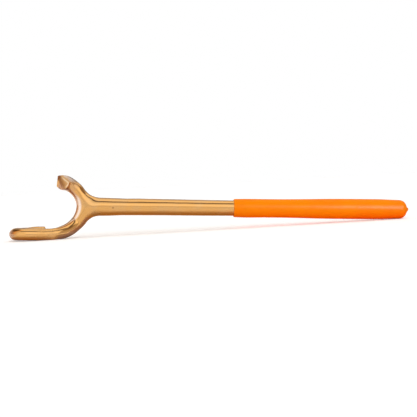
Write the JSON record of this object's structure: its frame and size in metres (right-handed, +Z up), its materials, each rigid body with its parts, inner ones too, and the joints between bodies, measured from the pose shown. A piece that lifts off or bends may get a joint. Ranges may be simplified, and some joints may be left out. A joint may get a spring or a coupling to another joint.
{
  "type": "fire hydrant wrench",
  "caption": "Forged bronze hydrant wrench with a forked jaw, a chisel-tipped upper arm, a lower arm ending in a U-shaped side hook, and a round shank with a dipped plastic handle grip.",
  "frame": {"origin": "on the shank's axis, where it meets the back of the throat between the two jaws", "axes": "+X along the shank from the jaws to the handle, +Z up towards the chisel-tipped jaw, -Y the front, to which the upper jaw's tip and the lower arm turn"},
  "size_m": [0.4, 0.0478, 0.0643],
  "materials": {
    "bronze": "satin forged bronze with a fine grain, lightly worn at the jaw's tip and the fork",
    "grip_plastic": "glossy soft plastic, dipped, with a drip nib at its end"
  },
  "bodies": {
    "root": {"forged_body": "bronze", "handle_grip": "grip_plastic"}
  },
  "joints": []
}
